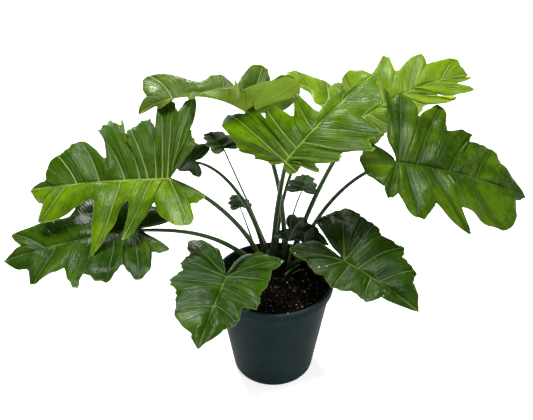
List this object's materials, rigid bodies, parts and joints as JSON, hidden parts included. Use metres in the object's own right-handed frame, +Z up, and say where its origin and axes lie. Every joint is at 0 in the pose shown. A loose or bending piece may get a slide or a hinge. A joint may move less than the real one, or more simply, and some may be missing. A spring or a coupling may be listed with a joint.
{
  "type": "potted plant",
  "caption": "Philodendron with glossy lobed leaves on arching stalks, rooted in dark soil in a plain tapered nursery pot with a rim band and drain holes",
  "frame": {"origin": "centre of the pot's flat underside, on the surface that it stands on", "axes": "+Z up along the pot's axis, -Y the viewing side towards which the low front leaves hang, +X to the viewer's right"},
  "size_m": [0.621, 0.3808, 0.3864],
  "materials": {
    "pot_plastic": "matte dark blue-green polypropylene",
    "potting_soil": "moist crumbly peat with pale grit",
    "blade_bright": "glossy yellow-green leaf",
    "blade_mid": "glossy mid-green leaf",
    "blade_dark": "glossy dark green leaf",
    "blade_dull": "satin grey-green leaf",
    "petiole_green": "smooth glossy dark green stalk",
    "leaf_sheath": "dry papery yellow-brown sheath",
    "young_shoot": "smooth green shoot"
  },
  "bodies": {
    "root": {"pot": "pot_plastic", "soil": "potting_soil", "blade_left_high": "blade_mid", "petiole_left_high": "petiole_green", "blade_left_low": "blade_dark", "petiole_left_low": "petiole_green", "blade_top_left": "blade_bright", "petiole_top_left": "petiole_green", "blade_centre": "blade_mid", "petiole_centre": "petiole_green", "blade_top_right": "blade_bright", "petiole_top_right": "petiole_green", "blade_top_back": "blade_bright", "petiole_top_back": "petiole_green", "blade_right": "blade_dark", "petiole_right": "petiole_green", "blade_front_left": "blade_dark", "petiole_front_left": "petiole_green", "blade_front_right": "blade_dark", "petiole_front_right": "petiole_green", "blade_shaded_centre": "blade_dark", "petiole_shaded_centre": "petiole_green", "blade_small_left": "blade_dull", "petiole_small_left": "petiole_green", "blade_small_right": "blade_dull", "petiole_small_right": "petiole_green", "blade_small_low": "blade_dull", "petiole_small_low": "petiole_green", "blade_hidden_left": "blade_dark", "petiole_hidden_left": "petiole_green", "sheath_left": "leaf_sheath", "sheath_right": "leaf_sheath", "shoot_front": "young_shoot", "shoot_right": "young_shoot"}
  },
  "joints": []
}
